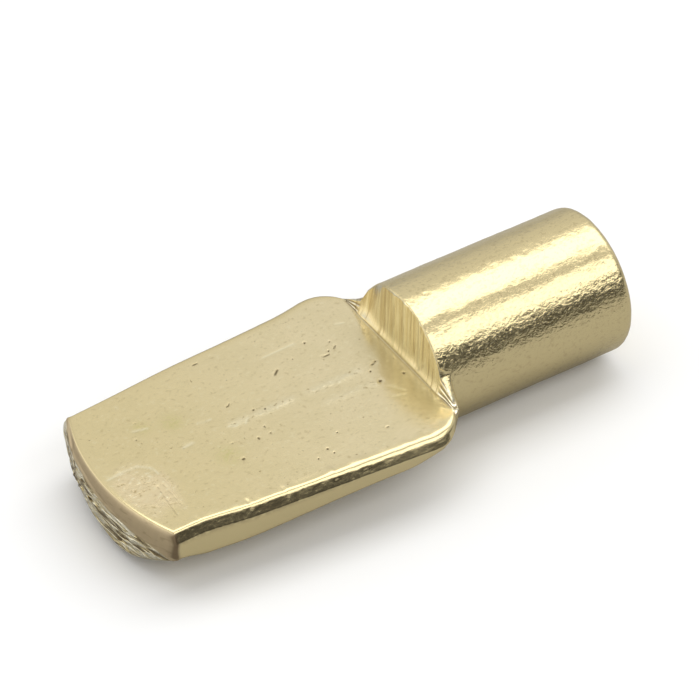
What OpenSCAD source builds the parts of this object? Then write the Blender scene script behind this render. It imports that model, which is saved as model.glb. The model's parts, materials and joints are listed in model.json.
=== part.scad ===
// Shelf support pin with a flat spoon, cold pressed from one plated rod.
// The origin is on the pin's axis in the plane of the shoulders, which stop against the
// cabinet side. +X runs along the pin to its free end and +Z is up, out of the shelf seat.

/* [Pin] */
// Diameter of the round pin
pin_d = 6.25; // [5.8:0.05:7]
// Length of the pin from the shoulders to its free end
pin_len = 8.9; // [6:0.1:14]
// Radius of the rounding at the pin's free end
end_round = 0.45; // [0.2:0.05:1]

/* [Spoon outline] */
// Length of the spoon from the foot of the step to the middle of its tip
spoon_len = 13.9; // [10:0.1:18]
// Width of the spoon across its shoulders
shoulder_w = 10; // [9:0.1:12]
// Width of the spoon across the corners of its tip
tip_w = 8.4; // [7:0.1:9]
// How far the middle of the tip stands out past its corners
tip_bulge = 0.85; // [0.4:0.05:1.5]
// Radius of the shoulders in plan
shoulder_r = 1.85; // [1.5:0.05:2.1]

/* [Spoon section] */
// Height of the shelf seat above the pin's axis
seat_rise = 0.2; // [0:0.05:0.6]
// Rounding of the seat's long edges
edge_round = 0.4; // [0.2:0.05:0.6]
// Height of the spoon's side at the shoulders, rounding included
side_h = 1; // [0.8:0.05:1.6]
// How far the spoon's round underside lies above the pin's lowest line
belly_lift = 0.15; // [0.1:0.05:0.4]
// How far the broken tip face stands out past its top edge
tip_flare = 0.3; // [0.1:0.05:0.5]
// Depth below the seat at which the tip face stands out furthest
tip_flare_depth = 1.2; // [0.8:0.1:1.6]

/* [Step] */
// Distance from the foot of the step to the plane of the shoulders
step_back = 0.5; // [0.3:0.05:0.7]
// Lean of the step's face towards the pin, in degrees
step_lean = 2; // [0:0.5:8]
// Width of the spoon at the foot of the step, over the folds at its two ends
fold_w = 8.1; // [7.4:0.1:8.6]
// Height of the folds above the seat, where they meet the pin
fold_h = 1.1; // [0.6:0.1:1.6]
// Length over which the pin's underside runs out into the spoon
run_out = 3; // [2:0.1:5]

/* [Hidden] */
$fn = 96;

pin_r = pin_d / 2;
step_x = -step_back;
tip_x = step_x - spoon_len;
corner_x = tip_x + tip_bulge;

// Shoulder circles, and the side lines that touch them from the tip's corners
shoulder_x = -shoulder_r;
shoulder_y = shoulder_w / 2 - shoulder_r;
side_run = shoulder_x - corner_x;
side_rise = shoulder_y - tip_w / 2;
taper = atan2(side_rise, side_run) + asin(shoulder_r / norm([side_run, side_rise]));

// Arc of the tip in plan
tip_r = (pow(tip_w / 2, 2) + pow(tip_bulge, 2)) / (2 * tip_bulge);

// Arc of the underside in section, from the foot of one side to the other
belly_z = belly_lift - pin_r;
belly_rise = seat_rise - side_h - belly_z;
belly_r = (pow(shoulder_w / 2, 2) + pow(belly_rise, 2)) / (2 * belly_rise);

// Size of the blocks that the surfaces are cut from
reach = 2 * (spoon_len + pin_len);
depth = 2 * pin_d;

// Section of a side: the seat at height 0, its rounded edge, and the wall at x
module side_section(x, width) {
    translate([x - width, -depth]) square([width, depth - edge_round]);
    translate([x - width, -edge_round]) square([width - edge_round, edge_round]);
    translate([x - edge_round, -edge_round]) circle(edge_round);
}

// Everything inside one side line of the spoon, up to the cut across its shoulder
module side_slab() {
    translate([shoulder_x, shoulder_y, seat_rise])
        rotate([0, 0, taper])
            rotate([90, 0, -90])
                linear_extrude(height = reach)
                    mirror([1, 0]) side_section(shoulder_r, reach);
}

// Round shoulder with its rounded edge
module shoulder() {
    translate([shoulder_x, shoulder_y, seat_rise])
        rotate_extrude()
            intersection() {
                side_section(shoulder_r, 2 * shoulder_r);
                translate([0, -depth]) square([reach, depth]);
            }
}

// Round block with the arc and the flared face of the sheared tip
module tip_block() {
    translate([tip_x + tip_r, 0, seat_rise])
        rotate_extrude()
            polygon([
                [0, 0],
                [tip_r, 0],
                [tip_r + tip_flare, -tip_flare_depth],
                [tip_r, -depth],
                [0, -depth]
            ]);
}

// Spoon seen from above, with rounded long edges and no underside yet
module spoon_block() {
    intersection() {
        side_slab();
        mirror([0, 1, 0]) side_slab();
        tip_block();
    }
    shoulder();
    mirror([0, 1, 0]) shoulder();
    translate([shoulder_x - shoulder_r, -shoulder_y, seat_rise - depth])
        cube([2 * shoulder_r, 2 * shoulder_y, depth]);
}

// Spoon with its round underside
module spoon() {
    intersection() {
        spoon_block();
        translate([-reach, 0, belly_z + belly_r])
            rotate([0, 90, 0]) cylinder(r = belly_r, h = 2 * reach);
    }
}

// Thin folds of metal that stand between the shoulders and the pin
module folds() {
    fold_top = seat_rise + fold_h;
    fold_top_y = sqrt(pow(pin_r, 2) - pow(fold_top, 2));
    intersection() {
        translate([step_x, 0, 0])
            rotate([90, 0, 90])
                linear_extrude(height = step_back)
                    polygon([
                        [-fold_w / 2, seat_rise],
                        [-fold_w / 2, seat_rise - edge_round],
                        [fold_w / 2, seat_rise - edge_round],
                        [fold_w / 2, seat_rise],
                        [fold_top_y, fold_top],
                        [-fold_top_y, fold_top]
                    ]);
        union() {
            for (side = [-1, 1])
                translate([shoulder_x, side * shoulder_y, -depth])
                    cylinder(r = shoulder_r, h = 2 * depth);
            translate([shoulder_x, -shoulder_y, -depth]) cube([shoulder_r, 2 * shoulder_y, 2 * depth]);
        }
    }
}

// Round pin with its free end rounded, and its other end run out into the spoon's underside
module pin() {
    run_out_r = pin_r - 2 * belly_lift;
    rotate([0, 90, 0])
        rotate_extrude() {
            translate([0, -run_out]) polygon([[0, 0], [run_out_r, 0], [pin_r, run_out], [0, run_out]]);
            square([pin_r, pin_len - end_round]);
            square([pin_r - end_round, pin_len]);
            translate([pin_r - end_round, pin_len - end_round]) circle(end_round);
        }
}

// Space above the seat, up to the leaning face of the step
module seat_space() {
    rotate([90, 0, 0])
        linear_extrude(height = 2 * depth, center = true)
            polygon([
                [-reach, seat_rise],
                [step_x, seat_rise],
                [step_x + depth * tan(step_lean), seat_rise + depth],
                [-reach, seat_rise + depth]
            ]);
}

module support_pin() {
    color("#cdbb86") {
        spoon();
        difference() {
            union() {
                pin();
                folds();
            }
            seat_space();
        }
    }
}

support_pin();
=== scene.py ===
import json
import math

import bpy
import numpy as np
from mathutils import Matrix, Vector


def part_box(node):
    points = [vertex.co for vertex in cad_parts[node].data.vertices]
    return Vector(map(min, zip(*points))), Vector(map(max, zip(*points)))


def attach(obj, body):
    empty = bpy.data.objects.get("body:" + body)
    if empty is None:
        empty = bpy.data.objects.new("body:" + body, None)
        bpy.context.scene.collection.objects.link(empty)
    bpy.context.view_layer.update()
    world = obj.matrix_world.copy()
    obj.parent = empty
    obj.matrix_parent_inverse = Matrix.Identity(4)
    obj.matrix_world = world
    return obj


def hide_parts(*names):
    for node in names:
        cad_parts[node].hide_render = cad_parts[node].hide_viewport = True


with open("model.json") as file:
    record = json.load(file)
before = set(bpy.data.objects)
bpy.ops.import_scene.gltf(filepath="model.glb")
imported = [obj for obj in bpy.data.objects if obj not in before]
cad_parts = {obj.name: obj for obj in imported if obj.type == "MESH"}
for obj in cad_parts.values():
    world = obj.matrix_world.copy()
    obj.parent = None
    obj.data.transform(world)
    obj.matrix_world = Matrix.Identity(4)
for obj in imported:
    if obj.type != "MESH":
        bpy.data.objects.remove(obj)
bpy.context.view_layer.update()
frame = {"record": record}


# ---------------------------------------------------------------- support pin: form
# The whole piece is one length of steel rod. One end was pressed flat into a spoon, which left a
# square step, thin folds at its two ends and a cropped, torn tip; the other end stayed round.
# It is one closed surface: closed loops round the section, carried from the tip to the pin's end.

MM = 1000.0
mounts = {m["name"]: m for m in frame["record"]["mounts"]}
node_lo, node_hi = (np.array(corner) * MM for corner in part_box("support_pin"))

# Millimetres. The pin and the rounding of its free end
pin_r = mounts["pin"]["dims"]["r_mm"]
pin_end = node_hi[0]
end_round = 0.38

# The seat: its height, its edge, a straight taper up to edge_x and then an arc round the shoulder,
# and how far that edge is turned down
seat_z = mounts["shelf_seat"]["pos_m"][2] * MM
seat_half, seat_half_x, seat_taper = 4.8, -2.6, 0.072
edge_x, edge_r, edge_centre = -2.05, 1.7, (-1.93, 3.13)
turn_sweep = math.radians(60)

# The sides: how far the wall stands outside the seat's edge, how much further at its top, the depths
# of its top and foot below the seat, and how far the lowest line of the belly lies above the pin's,
# at the pin and, beyond that, at the tip
wall_out, wall_lean, wall_top, wall_foot = 0.25, 0.05, 0.47, 1
belly_lift, belly_tip_rise = 0.15, 0.38

# The shoulders, and the tip: the middle and corners of its top edge, its arc in plan, and its bulge
# under that edge
shoulder_x, shoulder_r = -1.85, 1.85
tip_x = node_lo[0] + 0.3
tip_corner_x = tip_x + 0.85
tip_arc_r = 9.5
tip_bulge, tip_bulge_depth = 0.28, 2.3

# The step: its foot and half that foot's width, its lean, the rounding of its rim, and the outer
# corner of each fold
neck_x, neck_half = -0.5, 3.88
step_lean = math.radians(2)
rim_round = 0.045
fold_half, fold_z, fold_back = 4.02, 0.15, 0.22

# Places round the half section, as angles: the pin's own angle on the pin, and on the spoon the
# marks between seat, folds, turned edge, bevel, wall and belly
TOP, SEAT, TURN, BEVEL, WALL, BELLY, BOTTOM = 90, 21, 13, 6, 0, -12, -90
half = np.concatenate([
    np.linspace(TOP, SEAT, 45),
    np.linspace(SEAT, TURN, 13)[1:],
    np.linspace(TURN, BEVEL, 9)[1:],
    np.linspace(BEVEL, WALL, 9)[1:],
    np.linspace(WALL, BELLY, 13)[1:],
    BELLY + (BOTTOM - BELLY) * np.linspace(0, 1, 37)[1:] ** 1.25,
])
angle = np.concatenate([half, half[-2:0:-1]])
side = np.concatenate([np.ones(len(half)), -np.ones(len(half) - 2)])
to_lower = np.clip((BEVEL - angle) / (BEVEL - WALL), 0, 1)


def ease(t):
    """3t² - 2t³ between 0 and 1, and flat outside."""
    t = np.clip(t, 0, 1)
    return t * t * (3 - 2 * t)


def edge_y(x):
    """Half width of the seat: a straight taper, drawn in near the tip on the near side, then a
    quarter circle round the shoulder. The far side is a little fuller, most of all at the shoulder."""
    taper = seat_half + (np.clip(x, tip_corner_x, edge_x) - seat_half_x) * seat_taper
    drawn_in = np.exp(-((np.maximum(x, tip_corner_x) + 12.2) / 1.3) ** 2)
    taper = taper - np.where(side < 0, 0.15, 0) * drawn_in
    arc = edge_centre[1] + np.sqrt(np.clip(edge_r**2 - (x - edge_centre[0]) ** 2, 0, None))
    fuller = 0.2 * ease((x + 3.6) / 2.6) + 0.07 * np.exp(-(((x + 8.7) / 2.4) ** 2))
    return np.where(x < edge_x, taper, arc) + np.where(side > 0, fuller, 0)


def spoon_upper(x):
    """Seat, flat at one height, and its turned edge: an arc of 60 degrees, wider at the shoulder."""
    turn_r = 0.16 + 0.22 * ease((x + 13) / 11)
    start = edge_y(x) - turn_r * math.tan(turn_sweep / 2)
    neck_y = np.where(
        angle >= SEAT,
        pin_r * np.cos(np.radians(angle)),
        np.interp(-angle, [-SEAT, -TURN], [pin_r * math.cos(math.radians(SEAT)), neck_half]),
    )
    turn = turn_sweep * np.clip((TURN - angle) / (TURN - BEVEL), 0, 1)
    y = np.where(angle >= TURN, start * neck_y / neck_half, start + turn_r * np.sin(turn))
    z = seat_z - turn_r * (1 - np.cos(turn))
    return y, z


def spoon_lower(x):
    """Wall, which stands outside the seat's edge, and the belly, which falls from the foot of the
    wall to the lowest line with about the square of the way across. Towards the tip the foot
    drops, most on the far side, and it is lifted at the near corner and the near shoulder."""
    near_tip = 1 - ease((x + 13.5) / 11)
    wall_y = edge_y(x) + wall_out
    corner = np.where(side > 0, -0.62 * ease((-10.8 - x) / 2.7), 0.35 * ease((-12 - x) / 1.5))
    lifted = np.where(side > 0, 0, 0.38 * ease((x + 3.4) / 2))
    foot_z = seat_z - wall_foot - 0.65 * near_tip + corner + lifted
    down = np.clip((WALL - angle) / (WALL - BELLY), 0, 1)
    wall = wall_y + wall_lean * (1 - down), (seat_z - wall_top) * (1 - down) + foot_z * down
    bottom_z = belly_lift - pin_r + belly_tip_rise * (1 - ease((x + 13.5) / 7))
    out = np.clip((angle - BOTTOM) / (BELLY - BOTTOM), 0, 1) ** 0.9
    sag = -0.2 * np.exp(-(((out - 0.4) / 0.3) ** 2))
    swell = 0.1 * np.exp(-(((out - 0.5) / 0.25) ** 2))
    bottom_z = bottom_z + np.where(side < 0, sag, swell) * near_tip
    belly = wall_y * out, bottom_z + (foot_z - bottom_z) * out ** (2.1 + 0.2 * near_tip)
    on_wall = angle >= BELLY
    return np.where(on_wall, wall[0], belly[0]), np.where(on_wall, wall[1], belly[1])


def across(upper, lower):
    """Loops of (x, y, z): upper above the bevel, lower below it, and the bevel straight between."""
    shape = np.broadcast_shapes(*(np.shape(v) for v in (*upper, *lower)), angle.shape)
    loops = [np.broadcast_to(u, shape) for u in upper], [np.broadcast_to(v, shape) for v in lower]
    edge = [np.argmin(np.abs(angle - BEVEL)), np.argmin(np.abs(angle - WALL))]
    far = len(angle) - np.array(edge)
    out = []
    for u, v in zip(*loops):
        inner = np.where(side > 0, u[..., edge[0], None], u[..., far[0], None])
        outer = np.where(side > 0, v[..., edge[1], None], v[..., far[1], None])
        between = inner + (outer - inner) * to_lower
        out.append(np.where(to_lower <= 0, u, np.where(to_lower >= 1, v, between)))
    return np.stack([out[0], out[1] * side, out[2]], axis=-1)


def tip_face_x(y, z):
    """The broken face: the arc of the tip seen from above, and a bulge under its edge, half a sine
    wave down to the bulge's depth, at its fullest a little above the middle of it."""
    depth = np.clip((seat_z - z) / tip_bulge_depth, 0, 1)
    bulge = tip_bulge + 0.06 * ease((y - 0.5) / 3)
    return tip_x + tip_arc_r - np.sqrt(tip_arc_r**2 - y**2) - bulge * np.sin(np.pi * depth**0.7)


def column(values):
    """The values as a column, so that each gives one whole loop."""
    return np.asarray(values)[:, None]


# Rim of the tip, taken past its corners where the section no longer changes, and its own
# rounding: tight along the seat, wide along the belly
past_tip = column([-20.0])
tip_rim = across((0, *spoon_upper(past_tip)), (0, *spoon_lower(past_tip)))[0]
tip_y, tip_z = tip_rim[:, 1], tip_rim[:, 2]
tip_pole = np.array([0.0, -1.05])
tip_round = 0.05 + 0.13 * ease((WALL - angle) / 20) + 0.07 * ease((BELLY - 6 - angle) / 50)
run_y = np.roll(tip_y, -1) - np.roll(tip_y, 1)
run_z = np.roll(tip_z, -1) - np.roll(tip_z, 1)
run = np.hypot(run_y, run_z)
in_y, in_z = run_z / run, -run_y / run
face_y, face_z = tip_y + in_y * tip_round, tip_z + in_z * tip_round


def tip_loops(f):
    """Rings of the broken face: f from 0 at its middle to 1 at its rounded rim."""
    y, z = f * face_y, tip_pole[1] + f * (face_z - tip_pole[1])
    return np.stack([tip_face_x(y, z), y, z], axis=-1)


def tip_rim_loops(turn):
    """The rim's quarter round, from the face (1) to the spoon's sides (0)."""
    swing = np.radians(90) * turn
    inset = tip_round * (1 - np.cos(swing))
    y, z = tip_y + in_y * inset, tip_z + in_z * inset
    return np.stack([tip_face_x(y, z) + tip_round * (1 - np.sin(swing)), y, z], axis=-1)


def spoon_loops(t):
    """From the rim of the tip (0) to the middle of the shoulders (1)."""
    start = tip_face_x(tip_y, tip_z) + tip_round
    x = start + (shoulder_x - start) * t
    return across((x, *spoon_upper(x)), (x, *spoon_lower(x)))


pin_y, pin_z = pin_r * np.cos(np.radians(angle)), pin_r * np.sin(np.radians(angle))
full_y, full_z = spoon_lower(np.full(angle.shape, shoulder_x))


def round_shoulder(swing):
    """Wall and belly going round the shoulder: the spoon's section shrinks onto the pin's circle
    with the cosine of the swing, while x goes out with its sine. Both are tucked in half way
    round, more under the wall than on it."""
    under = np.where(side < 0, 0.27, 0.2) * ease((WALL - angle) / 14)
    tuck = 1 - (0.09 + under) * np.sin(2 * swing) ** 2
    x = shoulder_x + shoulder_r * np.sin(swing) * tuck
    keep = np.cos(swing) * tuck
    return x, pin_y + keep * (full_y - pin_y), pin_z + keep * (full_z - pin_z)


def shoulder_loops(t):
    """From the middle of the shoulders (0) to the foot of the step (1)."""
    x = shoulder_x + (neck_x - shoulder_x) * t
    return across((x, *spoon_upper(x)), round_shoulder(np.radians(50) * t))


# Rim of the step: the pin's own circle, then a straight fold down to the shoulder. The rim is
# pushed back a little on the far side.
fold = np.clip((SEAT - angle) / (SEAT - BEVEL), 0, 1)
low = math.radians(SEAT)
rim_r = pin_r - rim_round
rim_y = np.where(angle >= SEAT, rim_r * np.cos(np.radians(angle)), 0)
rim_z = np.where(angle >= SEAT, rim_r * np.sin(np.radians(angle)), 0)
rim_y = np.where(angle < SEAT, rim_r * math.cos(low) * (1 - fold) + fold_half * fold, rim_y)
rim_z = np.where(angle < SEAT, rim_r * math.sin(low) * (1 - fold) + fold_z * fold, rim_z)
rim_x = neck_x + (rim_z - seat_z) * math.tan(step_lean) + fold_back * fold
rim_x = rim_x + np.where(side > 0, 0.3, 0) * np.exp(-(((angle - 42) / 15) ** 2))
land_x = (rim_x + rim_round) * ease((angle - SEAT) / 8)
neck_y, neck_z = spoon_upper(np.full(angle.shape, neck_x))


def step_loops(t):
    """Up the face of the step, straight from its foot (0) to its rim (1)."""
    foot_to_rim = (neck_x, rim_x), (neck_y, rim_y), (neck_z, rim_z)
    upper = (low_end + (high_end - low_end) * t for low_end, high_end in foot_to_rim)
    return across(tuple(upper), round_shoulder(np.radians(50 + 10 * t)))


def rim_loops(t):
    """Over the rim and round the rest of the shoulders onto the pin (1): what the rim lacks of the
    pin's circle shrinks with the cosine of the swing, while x goes out with its sine."""
    from_swing = math.radians(60)
    swing = np.radians(60 + 30 * t)
    keep = np.cos(swing) / math.cos(from_swing)
    out = (np.sin(swing) - math.sin(from_swing)) / (1 - math.sin(from_swing))
    x = rim_x + (land_x - rim_x) * out
    upper = x, pin_y + (rim_y - pin_y) * keep, pin_z + (rim_z - pin_z) * keep
    return across(upper, round_shoulder(swing))


def pin_loops(t):
    """Along the straight pin to the start of its end rounding (1)."""
    start = np.where(angle >= BEVEL, land_x, 0)
    x = start + (pin_end - end_round - start) * t
    y, z = np.broadcast_to(pin_y * side, x.shape), np.broadcast_to(pin_z, x.shape)
    return np.stack([x, y, z], axis=-1)


def end_loops(turn):
    """Quarter round at the free end, from the side (0) to the end face (1)."""
    r = 1 - end_round / pin_r * (1 - np.cos(np.radians(90) * turn))
    x = pin_end - end_round * (1 - np.sin(np.radians(90) * turn)) + 0 * angle
    return np.stack([x, pin_y * side * r, pin_z * r], axis=-1)


def end_face_loops(f):
    """Rings of the flat end face, from its rim (1) to its middle (0)."""
    r = f * (1 - end_round / pin_r)
    return np.stack([pin_end + 0 * r * angle, pin_y * side * r, pin_z * r], axis=-1)


blocks = [
    ("tip", tip_loops(column(np.linspace(0, 1, 31)[1:-1]))),
    ("tip_rim", tip_rim_loops(column(np.linspace(1, 0, 6)))),
    ("spoon", spoon_loops(column(np.linspace(0, 1, 151)[1:]))),
    ("spoon", shoulder_loops(column(np.linspace(0, 1, 25)[1:]))),
    ("step", step_loops(column(np.linspace(0, 1, 31)[1:]))),
    ("rim", rim_loops(column(np.linspace(0, 1, 11)[1:]))),
    ("pin", pin_loops(column(np.linspace(0, 1, 105)[1:]))),
    ("end_rim", end_loops(column(np.linspace(0, 1, 8)[1:]))),
    ("end", end_face_loops(column(np.linspace(1, 0, 17)[1:-1]))),
]
grid = np.concatenate([loops for _, loops in blocks])
zone = np.concatenate([[name] * len(loops) for name, loops in blocks])


def soften(p, passes):
    """Each point moves a quarter of the way to both neighbours, along the loops and across them."""
    for _ in range(passes):
        across_rows = p.copy()
        across_rows[1:-1] = 0.5 * p[1:-1] + 0.25 * (p[:-2] + p[2:])
        p = 0.5 * across_rows + 0.25 * (np.roll(across_rows, 1, axis=1) + np.roll(across_rows, -1, axis=1))
    return p


def outward(p):
    """Unit normals of the grid: the cross product of its two directions at each point."""
    n = np.cross(np.gradient(p, axis=0), np.roll(p, -1, axis=1) - np.roll(p, 1, axis=1))
    return n / np.maximum(np.linalg.norm(n, axis=-1, keepdims=True), 1e-9)


grid = soften(grid, 1)


# Marks of the tools, as lifts along the normals of the same grid
def bumps(p, size, seed):
    """Value noise from -1 to 1: a random number at each corner of a lattice of cells of the given
    size (one number, or one each for x, y and z), eased across each cell."""
    q = p / np.array(size) + 7.3 * seed
    cell = np.floor(q).astype(np.int64)
    t = ease(q - cell)
    total = 0
    for corner in np.ndindex(2, 2, 2):
        c = cell + corner
        key = (c[..., 0] * 73856093) ^ (c[..., 1] * 19349663) ^ (c[..., 2] * 83492791) ^ (seed * 7919)
        key = (key ^ (key >> 13)) * 1274126177 & 0xFFFFFFFF
        weight = np.prod(np.where(corner, t, 1 - t), axis=-1)
        total = total + weight * (((key ^ (key >> 16)) & 0xFFFF) / 32767.5 - 1)
    return total


def along(p, start, end, width):
    """1 on the straight line from start to end in plan, falling off as a bell of that width."""
    (x0, y0), (x1, y1) = start, end
    run = max((x1 - x0) ** 2 + (y1 - y0) ** 2, 1e-9)
    t = np.clip(((p[..., 0] - x0) * (x1 - x0) + (p[..., 1] - y0) * (y1 - y0)) / run, 0, 1)
    gap = np.hypot(p[..., 0] - x0 - t * (x1 - x0), p[..., 1] - y0 - t * (y1 - y0))
    return np.exp(-((gap / width) ** 2))


def spread(mask, passes=3):
    """A mask over the grid, 1 where it holds and 0 elsewhere, with its border softened."""
    return soften(np.broadcast_to(mask, grid.shape[:2])[..., None].astype(float), passes)[..., 0]


x, y, z = np.moveaxis(grid, -1, 0)
kind = zone[:, None]
on_tip = spread(np.isin(kind, ["tip", "tip_rim"]) & (angle < 200), 2)
on_face = spread((kind == "tip") & (angle < 200), 3)
on_seat = spread((kind == "spoon") & (angle > TURN))
on_step = spread((kind == "step") & (angle > BEVEL), 1)
on_fold = on_step * spread(angle < SEAT, 3)
on_bevel = spread((kind == "spoon") & (angle < BEVEL + 1) & (angle > WALL - 1), 2)
on_side = spread((kind == "spoon") & (angle < TURN))
on_pin = spread(np.isin(kind, ["rim", "pin", "end_rim"]))

# All over: the rod's fine grain, longer along the pin than across it, and faint waves
lift = 0.007 * bumps(grid, (0.22, 0.2, 0.2), 1) * (on_pin + 0.3 * on_side)
lift += 0.006 * bumps(grid, (0.6, 0.5, 0.5), 2) * on_pin
lift += 0.004 * bumps(grid, (3.0, 0.5, 0.5), 3) * on_pin
lift += 0.001 * bumps(grid, 0.35, 4) * on_seat + 0.006 * bumps(grid, (2.5, 1.6, 2), 5) * on_seat
lift += 0.004 * bumps(grid, (0.25, 0.2, 0.2), 6) * on_bevel

# Seat: pits (x, y, radius), dark scars (two ends, width, depth), bright scars (two ends, width),
# the rod's seam, stains (x, y, radius), and the rough patch at the tip, which has fine drag lines
pits = [
    (-3.3, 2.7, 0.07), (-2.4, 2.2, 0.06), (-2.75, 1.75, 0.06), (-4.25, 2.15, 0.05), (-2.0, -0.2, 0.06),
    (-2.0, -0.9, 0.1), (-0.95, -1.0, 0.08), (-7.2, 0.4, 0.07), (-6.75, 0.2, 0.06), (-7.35, -0.7, 0.07),
    (-7.35, -1.15, 0.07), (-7.9, -1.15, 0.08), (-7.65, -1.75, 0.05), (-8.95, -0.85, 0.06),
    (-9.05, -1.85, 0.09), (-5.95, -3.15, 0.07), (-5.85, -3.5, 0.06), (-6.55, -3.45, 0.05),
    (-5.1, -2.55, 0.05), (-3.25, -3.35, 0.06), (-12.05, 1.4, 0.06), (-11.6, 2.25, 0.05),
]
pit = sum(along(grid, (mid_x, mid_y), (mid_x, mid_y), radius) for mid_x, mid_y, radius in pits)
dark_scars = [
    ((-5.35, 1.7), (-5.1, 1.9), 0.07, 0.8), ((-3.15, 1.6), (-2.85, 1.55), 0.06, 0.8),
    ((-7.8, 4.0), (-7.6, 3.95), 0.06, 0.8), ((-1.75, 0.1), (-1.5, 0.2), 0.06, 0.8),
    ((-8.0, 1.1), (-7.8, 1.2), 0.05, 0.8), ((-12.75, -1.4), (-12.95, -3.2), 0.06, 0.5),
    ((-12.5, -1.4), (-12.5, -2.8), 0.06, 0.45), ((-2.5, 1.75), (-2.35, 1.9), 0.06, 0.7),
]
pit += sum(scar_depth * along(grid, start, end, width) for start, end, width, scar_depth in dark_scars)
pit *= on_seat
bright_scars = [
    ((-10.7, 0.0), (-10.25, 0.05), 0.07), ((-7.85, -0.1), (-7.6, 0.15), 0.05),
    ((-8.55, 0.1), (-8.2, 0.0), 0.05), ((-1.65, 3.0), (-1.3, 2.9), 0.04),
    ((-2.1, -1.95), (-1.55, -2.1), 0.04), ((-1.9, -1.3), (-1.45, -1.9), 0.04),
    ((-14.2, 0.0), (-13.6, 0.05), 0.07), ((-13.6, 0.05), (-12.8, 0.05), 0.05),
    ((-12.8, 0.05), (-12.4, -0.3), 0.05), ((-12.4, -0.3), (-12.3, -0.75), 0.05),
    ((-5.2, 2.85), (-3.7, 2.9), 0.05), ((-9.5, 0.9), (-8.9, 0.85), 0.04),
    ((-11.9, 1.9), (-11.3, 1.75), 0.05),
]
scar = sum(along(grid, start, end, width) for start, end, width in bright_scars) * on_seat
seam_breaks = ease((bumps(grid, (0.8, 9, 9), 8) + 0.75) * 1.2)
seam = along(grid, (-8.3, 0.1), (-2.4, 0.1), 0.19) * seam_breaks * on_seat
seam += 0.5 * along(grid, (-4.5, -0.8), (-2.2, -0.9), 0.18) * on_seat
stains = [(-10.3, 1.5, 0.45), (-9.4, -1.35, 0.5), (-11.5, 1.9, 0.35)]
stain = sum(along(grid, (mid_x, mid_y), (mid_x, mid_y), radius) for mid_x, mid_y, radius in stains)
stain = on_seat * stain
patch = on_seat * ease(1.6 - np.hypot((x + 13.3) / 1.0, (y + 1.35) / 1.35) - 0.35 * bumps(grid, 0.6, 9))
drag_pitch = 0.2
drag = np.sin(2 * np.pi * (x + 0.12 * y + 0.1 * bumps(grid, (0.5, 1.5, 9), 10)) / drag_pitch)
lift += -0.01 * pit - 0.006 * scar + 0.009 * seam * bumps(grid, (0.2, 0.13, 9), 7)
lift += patch * (0.004 * bumps(grid, (0.17, 0.17, 9), 11) + 0.0022 * drag * ease((-1.0 - y) / 0.4))

# Step: streaks and three raised drag lines down its face, a rounded foot with a painted shade line
# along it, and the angle round the outer corner that the pleats of the folds follow
streaks = 0.006 * bumps(grid, (9, 0.2, 9), 12) + 0.02 * bumps(grid, (9, 0.6, 9), 13)
lift += on_step * streaks * ease((z - 0.15) / 0.5)
drag_marks = on_step * sum(
    np.exp(-(((y - line_y - 0.04 * z) / 0.08) ** 2)) * ease((z - low_z) / 0.3)
    for line_y, low_z in [(0.36, 0.2), (-0.36, 0.7), (-1.45, 0.4)]
)
lift += 0.03 * drag_marks
# The row at the foot of the step, painted dark there as shade in the crease
foot_row = np.flatnonzero(zone == "step")[0] - 1
foot_crease_shade = np.clip(1.0 - 0.6 * np.abs(np.arange(len(zone)) - foot_row), 0, 1)[:, None] * (angle > TURN)
pleat_turn = np.degrees(np.arctan2(z - seat_z, 4.15 - np.abs(y)))
foot = spread(kind == "step", 1) * spread(angle > TURN, 2) * np.clip(1 - (z - seat_z) / 0.6, 0, 1) ** 2
grid[..., 0] -= 0.14 * foot * ease((3.4 - np.abs(y)) / 0.8)

# Broken tip: a smooth sheared band under the edge, a raised line, then torn metal, with lumps at
# the near side and three slashes at the far side
depth = seat_z - z
band = np.interp(y, [-4, -3, 0, 2.5, 4], [1.35, 1.0, 0.6, 0.35, 0.12])
band += 0.07 * bumps(grid, (9, 0.8, 9), 14)
torn = on_tip * ease((depth - band) / 0.12)
sheared = on_tip * (1 - torn) * ease(depth / 0.12)
ridge = 1 - np.abs(bumps(grid + 0.12 * np.stack([x * 0, z, y], -1), (9, 1.1, 0.26), 15))
lumpy = torn * ease((-1.2 - y) / 0.6) * ease((depth - band - 0.15) / 0.3)
slash = on_tip * ease((depth - 0.25) / 0.2) * sum(
    np.exp(-(((y - slash_y + 0.45 * (depth - 0.9)) / 0.07) ** 2)) for slash_y in (3.2, 2.8, 2.3)
)
lift += on_face * torn * (0.07 * (ridge - 0.6) + 0.02 * bumps(grid, (9, 0.35, 0.16), 16) - 0.03)
lift += on_tip * 0.04 * np.exp(-(((depth - band) / 0.07) ** 2))
lift += on_face * (0.05 * lumpy * bumps(grid, (9, 0.3, 0.38), 19) - 0.04 * slash)

# The rim's near corner, painted dark along with the slashes as painted shade
near_corner_shade = spread((kind == "tip_rim") & (side < 0) & (angle < BEVEL) & (angle > BELLY), 1)
slash = slash + 1.3 * near_corner_shade

# Near edge of the seat: nicks (x, width, depth, or height if negative) and a rolled burr
on_edge = spread((kind == "spoon") & (angle < TURN + 2) & (angle > BEVEL - 1), 1) * (side < 0)
nicks = [
    (-10.2, 0.06, 0.035), (-12.4, 0.05, 0.02), (-8.65, 0.05, 0.025),
    (-6.5, 0.12, -0.04), (-5.2, 0.2, -0.03),
]
for nick_x, width, nick_depth in nicks:
    lift -= on_edge * nick_depth * np.exp(-(((x - nick_x) / width) ** 2))
lift += 0.009 * bumps(grid, (0.35, 0.3, 0.3), 20) * on_edge

grid = grid + outward(grid) * lift[..., None]


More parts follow.
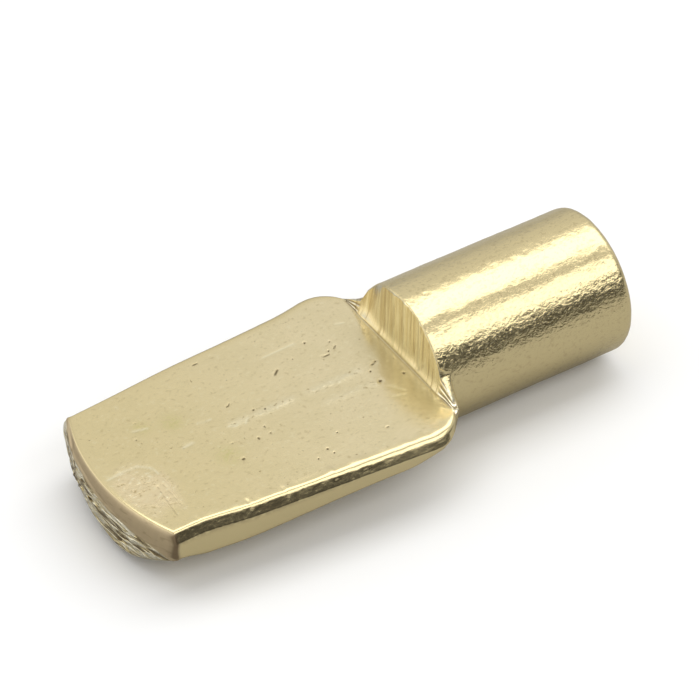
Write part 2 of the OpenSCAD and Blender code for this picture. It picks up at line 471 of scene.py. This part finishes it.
def closed_mesh(name, loops):
    """One mesh from closed loops: squares between loops, and a fan to a point at each end."""
    rows, cols = loops.shape[:2]
    ends = np.stack([loops[0].mean(axis=0), loops[-1].mean(axis=0)])
    points = np.concatenate([loops.reshape(-1, 3), ends]) / MM
    i, j = np.meshgrid(np.arange(rows - 1), np.arange(cols), indexing="ij")
    here, there = i * cols + j, i * cols + (j + 1) % cols
    squares = np.stack([here, here + cols, there + cols, there], axis=-1).reshape(-1, 4)
    first = np.arange(cols)
    second = np.roll(first, -1)
    last = (rows - 1) * cols
    fans = np.concatenate([
        np.stack([np.full(cols, rows * cols), first, second], axis=-1),
        np.stack([np.full(cols, rows * cols + 1), last + second, last + first], axis=-1),
    ])
    mesh = bpy.data.meshes.new(name)
    mesh.from_pydata(points, [], squares.tolist() + fans.tolist())
    mesh.validate()
    mesh.shade_smooth()
    return mesh


def paint(mesh, name, values):
    """A number from 0 to 1 at each point of the grid, which the material reads by name."""
    layer = mesh.attributes.new(name, "FLOAT", "POINT")
    ends = [values[0].mean(), values[-1].mean()]
    numbers = np.concatenate([np.clip(values, 0, 1).ravel(), ends])
    layer.data.foreach_set("value", numbers.astype(np.float32))


mesh = closed_mesh("support_pin_body", grid)
pin_piece = bpy.data.objects.new("support_pin_body", mesh)
bpy.context.scene.collection.objects.link(pin_piece)
for layer_name, layer in {
    "pit": pit, "seam": seam, "scar": scar, "stain": stain, "patch": patch, "seat": on_seat,
    "step": on_step, "drag": drag_marks, "foot": foot_crease_shade, "fold": on_fold, "pleat": pleat_turn / 90,
    "torn": torn, "slash": slash, "sheared": sheared, "bevel": on_bevel, "drawn": on_pin,
}.items():
    paint(mesh, layer_name, layer)
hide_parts("support_pin")
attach(pin_piece, "root")


# ---------------------------------------------------------------- support pin: brass plating
# Bright brass a few micrometres thick, plated over the pressed steel, so every mark of the tools
# shows through it. It is duller and browner where the tip was sheared, and lighter or darker where
# it was scratched. Painted highlights and shade lie over the torn metal and over the step and its
# folds, a painted dark reflection lies on the seat beside the step and, with dirt, in the bevel's
# pits, and a painted highlight makes the seat paler towards the step.

class Shade:
    """A value in a shader. Sums, differences and products, either way round, add Math nodes."""

    def __init__(self, socket):
        self.socket = socket

    @staticmethod
    def feed(socket, value):
        """Links a shader value to the socket, or sets a plain one on it."""
        if isinstance(value, Shade):
            socket.id_data.links.new(value.socket, socket)
        else:
            socket.default_value = value

    @classmethod
    def node(cls, tree, kind, settings=None, inputs=None, output=0):
        """Any node, from its type, its settings (a ramp's stops among them) and its inputs."""
        made = tree.nodes.new(kind)
        for name, value in (settings or {}).items():
            if name == "stops":
                marks = made.color_ramp.elements
                while len(marks) < len(value):
                    marks.new(0.5)
                for mark, (place, grey) in zip(marks, value):
                    mark.position, mark.color = place, (grey, grey, grey, 1)
            else:
                setattr(made, name, value)
        for name, value in (inputs or {}).items():
            cls.feed(made.inputs[name], value)
        return cls(made.outputs[output])

    def math(self, operation, *values):
        """A Math node on the values, in the same node tree as this one."""
        settings = {"operation": operation}
        return self.node(self.socket.id_data, "ShaderNodeMath", settings, dict(enumerate(values)))

    def __add__(self, other): return self.math("ADD", self, other)
    def __radd__(self, other): return self.math("ADD", other, self)
    def __sub__(self, other): return self.math("SUBTRACT", self, other)
    def __rsub__(self, other): return self.math("SUBTRACT", other, self)
    def __mul__(self, other): return self.math("MULTIPLY", self, other)
    def __rmul__(self, other): return self.math("MULTIPLY", other, self)

    def over(self, low, high):
        """0 below low, 1 above high, eased between."""
        settings = {"interpolation_type": "SMOOTHSTEP"}
        return self.node(self.socket.id_data, "ShaderNodeMapRange", settings, {0: self, 1: low, 2: high})


brass = bpy.data.materials.new("brass_plating")
brass.use_nodes = True
brass_tree = brass.node_tree
shader = brass_tree.nodes["Principled BSDF"]
here = Shade.node(brass_tree, "ShaderNodeTexCoord", output="Object")
here = Shade.node(brass_tree, "ShaderNodeVectorMath", {"operation": "SCALE"}, {0: here, "Scale": MM})
place_x, place_y, place_z = (
    Shade.node(brass_tree, "ShaderNodeSeparateXYZ", {}, {0: here}, axis) for axis in ("X", "Y", "Z")
)


def noise(stretch, detail=2.0, roughness=0.5, distortion=0.0):
    """Noise from about 0.25 to 0.75, with so many lumps to the millimetre along x, y and z."""
    spot = Shade.node(brass_tree, "ShaderNodeVectorMath", {"operation": "MULTIPLY"}, {0: here, 1: stretch})
    inputs = {"Vector": spot, "Scale": 1.0, "Detail": detail}
    inputs.update({"Roughness": roughness, "Distortion": distortion})
    return Shade.node(brass_tree, "ShaderNodeTexNoise", {}, inputs)


def painted(name):
    """The number that the mesh holds under that name, from 0 to 1."""
    return Shade.node(brass_tree, "ShaderNodeAttribute", {"attribute_name": name}, {}, "Fac")


def tinted(amount, below, above):
    """Colour below with colour above laid over it, as far as amount goes."""
    inputs = {0: amount, 6: below, 7: above}
    return Shade.node(brass_tree, "ShaderNodeMix", {"data_type": "RGBA"}, inputs, 2)


(
    at_pit, at_seam, at_scar, at_stain, at_patch, at_seat, at_step, at_drag_highlight,
    at_foot_crease_shade, at_fold, at_pleat, at_torn, at_slash_and_corner_shade, at_sheared, at_bevel, at_drawn,
) = (painted(name) for name in (
    "pit", "seam", "scar", "stain", "patch", "seat", "step", "drag",
    "foot", "fold", "pleat", "torn", "slash", "sheared", "bevel", "drawn",
))

grain = noise((5.0, 6.5, 6.5), 3.0, 0.55)
crinkle = noise((5.5, 6.5, 6.5), 2.0, 0.6, 0.5)
cloud = noise((0.7, 0.9, 0.9), 2.0)
streak = noise((0.3, 6.0, 0.35), 3.0, 0.6)
tear = noise((0.5, 0.9, 4.8), 3.0, 0.55, 0.9)
speck = noise((7.0, 7.0, 7.0), 1.0)
pleats = at_pleat.math("SINE", at_pleat * 45)

# Colour: warm brass, and what lies over it, from the first to the last
# The seat next to the step, where a painted dark reflection of the step lies
painted_step_reflection = at_seat * place_x.over(-2.3, -0.7) * (1 - place_y.over(1, 3.2))
tip_half = 1 - place_x.over(-8, -3)
bright_flecks = 0.3 * at_seat + 0.75 * at_seam + 0.5 * at_patch
dark_flecks = 0.3 * at_seat + 0.6 * at_seam + 0.45 * at_patch
colour = (0.885, 0.745, 0.415, 1)
for amount, tone in [
    # A painted highlight making the seat paler towards the step, and the step's own tone
    (place_x.over(-13, -2) * at_seat, (0.93, 0.80, 0.50)),
    (at_step, (0.87, 0.77, 0.5)),
    # Painted dark reflection of the step on the seat, in the corner between the two
    (painted_step_reflection * 0.55, (0.62, 0.53, 0.30)),
    # Painted shade over the far half of the step's face
    (at_step * place_y.over(-1.5, 2.5) * 0.6, (0.60, 0.50, 0.30)),
    # Painted highlights on the step's foot and along its bright streaks and raised drag lines
    (at_step * (1 - place_z.over(0.5, 1.2)) * 0.8, (1, 0.93, 0.72)),
    (at_step * streak.over(0.52, 0.64) * 0.6 + at_drag_highlight * 0.8, (1, 0.95, 0.72)),
    # Painted shade along the step's low streaks
    (at_step * (1 - streak.over(0.36, 0.46)) * 0.6, (0.5, 0.4, 0.2)),
    # Painted shade in the grooves between the pleats of the folds
    (at_fold * (1 - pleats.over(-0.9, -0.2)) * 0.8, (0.35, 0.26, 0.12)),
    # The seam, the rough patch, the seat's faint clouds, the bevel and the stains
    (at_seam * (0.3 + 0.6 * cloud), (1, 0.9, 0.62)),
    (at_patch * (0.3 + 0.4 * cloud), (0.93, 0.77, 0.52)),
    (at_seat * cloud.over(0.4, 0.62) * 0.16, (0.70, 0.60, 0.33)),
    # The bevel near the tip, dark in its pits: partly dirt, partly a painted dark reflection
    (at_bevel * tip_half * (1 - grain.over(0.5, 0.64)) * 0.6, (0.38, 0.30, 0.17)),
    (at_stain * (0.25 + 0.75 * grain.over(0.4, 0.6)) * 0.75, (0.74, 0.66, 0.28)),
    # Bright and dark flecks, specks, scars, pits, and painted shade along the foot of the step
    (grain.over(0.56, 0.72) * bright_flecks, (1, 0.91, 0.62)),
    ((1 - grain.over(0.28, 0.42)) * dark_flecks, (0.5, 0.38, 0.17)),
    (speck.over(0.74, 0.8) * at_seat * 0.7, (0.4, 0.3, 0.13)),
    (at_scar * 0.8, (1, 0.91, 0.62)),
    (at_pit.over(0.2, 0.8) * 0.95, (0.14, 0.1, 0.045)),
    (at_foot_crease_shade * 0.6, (0.3, 0.22, 0.1)),
    # The hollows of the pin's grain
    (at_drawn * (1 - crinkle.over(0.34, 0.46)) * 0.25, (0.45, 0.34, 0.18)),
    # The tip: brown and dark where sheared, and dark in the slashes
    (at_sheared * (0.75 + 0.25 * streak), (0.56, 0.44, 0.28)),
    (at_sheared * (1 - tear.over(0.36, 0.46)) * 0.35, (0.3, 0.22, 0.12)),
    # Painted highlights on the ridges of the torn metal
    (at_torn * tear.over(0.47, 0.54) * 0.95, (1, 0.94, 0.74)),
    # Painted shade in the grooves of the torn metal
    (at_torn * (1 - tear.over(0.4, 0.47)) * 0.95, (0.22, 0.16, 0.08)),
    # Dark in the slashes, and painted shade on the rim's near corner
    (at_slash_and_corner_shade * 0.85, (0.2, 0.14, 0.08)),
]:
    colour = tinted(amount, colour, (*tone, 1))
Shade.feed(shader.inputs["Base Color"], colour)

# Finish: bright, a little duller where sheared, torn, rough or pitted
rough = 0.19 + 0.06 * cloud + 0.14 * at_sheared + 0.02 * at_torn + 0.05 * at_patch + 0.12 * at_pit
Shade.feed(shader.inputs["Roughness"], rough)
shader.inputs["Metallic"].default_value = 1

# Fine relief in millimetres, finer than the mesh's own
low_down = 1 - place_z.over(1.8, 2.7)
height = grain * (0.002 + 0.004 * at_drawn + 0.007 * at_bevel + 0.012 * at_seam + 0.006 * at_patch)
height = height + crinkle * ((0.009 + 0.016 * low_down) * at_drawn + 0.006 * at_bevel)
height = height + streak * 0.014 * at_step + pleats * 0.02 * at_fold
height = height + tear * 0.2 * at_torn - 0.006 * at_pit
relief = {"Strength": 1.0, "Distance": 1 / MM, "Height": height}
Shade.feed(shader.inputs["Normal"], Shade.node(brass_tree, "ShaderNodeBump", {}, relief))
mesh.materials.append(brass)


# ---------------------------------------------------------------- floor, light and camera
# A plain pale floor under the pin's lowest line, two level softboxes over it, and a pale room
# round them. The floor and the room are white to the camera and darker to the metal that
# mirrors them, so that its low faces come out dark. Metres from here on.

floor_z = node_lo[2] / MM
floor_reach = 1.0
floor_seen = (0.98, 0.98, 0.975, 1)
floor_mirrored = (0.44, 0.435, 0.42, 1)
floor_corners = [
    (side_x * floor_reach, side_y * floor_reach, floor_z)
    for side_x, side_y in [(-1, -1), (1, -1), (1, 1), (-1, 1)]
]
floor_mesh = bpy.data.meshes.new("floor")
floor_mesh.from_pydata(floor_corners, [], [(0, 1, 2, 3)])
floor = bpy.data.objects.new("floor", floor_mesh)
bpy.context.scene.collection.objects.link(floor)
pale = bpy.data.materials.new("pale_floor")
pale.use_nodes = True
pale_shader = pale.node_tree.nodes["Principled BSDF"]
to_camera = Shade.node(pale.node_tree, "ShaderNodeLightPath", output="Is Camera Ray")
floor_mix = {0: to_camera, 6: floor_mirrored, 7: floor_seen}
floor_colour = Shade.node(pale.node_tree, "ShaderNodeMix", {"data_type": "RGBA"}, floor_mix, 2)
Shade.feed(pale_shader.inputs["Base Color"], floor_colour)
pale_shader.inputs["Roughness"].default_value = 0.9
pale_shader.inputs["Specular IOR Level"].default_value = 0.2
floor_mesh.materials.append(pale)


def softbox(name, centre, size, radiance):
    """A flat rectangular light, level and facing down. An area light of power P gives off
    P / (pi * area), so its power is the radiance times pi times its area."""
    lamp = bpy.data.lights.new(name, "AREA")
    lamp.shape = "RECTANGLE"
    lamp.size, lamp.size_y = size
    lamp.energy = radiance * math.pi * size[0] * size[1]
    lamp_object = bpy.data.objects.new(name, lamp)
    lamp_object.location = centre
    bpy.context.scene.collection.objects.link(lamp_object)


softbox_radiance = 1.35
softbox("top_softbox", (0.125, 0.068, 0.30), (0.65, 0.21), softbox_radiance)
softbox("front_softbox", (0.125, -0.30, 0.30), (0.65, 0.29), softbox_radiance)

# The room, as the metal mirrors it: pale behind the piece, dark low down in front of it, by a ramp
# on the angle round the X axis, from the horizon behind (0) over the top to the one in front (1).
# It is brighter low down beyond the tip.
room_seen = 0.95
world = bpy.data.worlds.new("studio")
bpy.context.scene.world = world
world.use_nodes = True
room = world.node_tree
way = Shade.node(room, "ShaderNodeTexCoord", output="Generated")
way_x, way_y, way_z = (
    Shade.node(room, "ShaderNodeSeparateXYZ", {}, {0: way}, axis) for axis in ("X", "Y", "Z")
)
round_x = way_z.math("ARCTAN2", way_z, way_y) * (1 / math.pi)
glow = Shade.node(room, "ShaderNodeValToRGB", {"stops": [
    (0.0, 0.46), (0.06, 0.57), (0.13, 0.65), (0.25, 0.69), (0.33, 0.74), (0.52, 0.6),
    (0.62, 0.5), (0.79, 0.45), (0.85, 0.18), (0.89, 0.06), (1.0, 0.03),
]}, {0: round_x})
beyond_tip = (0 - way_x).over(0.2, 0.45)
glow = glow + 0.5 * beyond_tip * way_z.over(0, 0.1) * (1 - way_z.over(0.35, 0.6))
to_camera = Shade.node(room, "ShaderNodeLightPath", output="Is Camera Ray")
backdrop = room.nodes["Background"]
backdrop.inputs["Color"].default_value = (1, 1, 1, 1)
Shade.feed(backdrop.inputs["Strength"], glow + (room_seen - glow) * to_camera)

azimuth, elevation = math.radians(-32.88), math.radians(41.29)
distance = 0.225
aim = Vector((-2.04, 1.27, 0.27)) / MM
level = math.cos(elevation)
back = Vector((math.sin(azimuth) * level, -math.cos(azimuth) * level, math.sin(elevation)))
camera_data = bpy.data.cameras.new("camera")
camera_data.sensor_width = 36
camera_data.lens = 287.4
camera_data.clip_start = 0.01
camera_data.clip_end = 5
camera = bpy.data.objects.new("camera", camera_data)
camera.location = aim + back * distance
camera.rotation_euler = back.to_track_quat("Z", "Y").to_euler()
bpy.context.scene.collection.objects.link(camera)
bpy.context.scene.camera = camera
bpy.context.scene.view_settings.view_transform = "Standard"
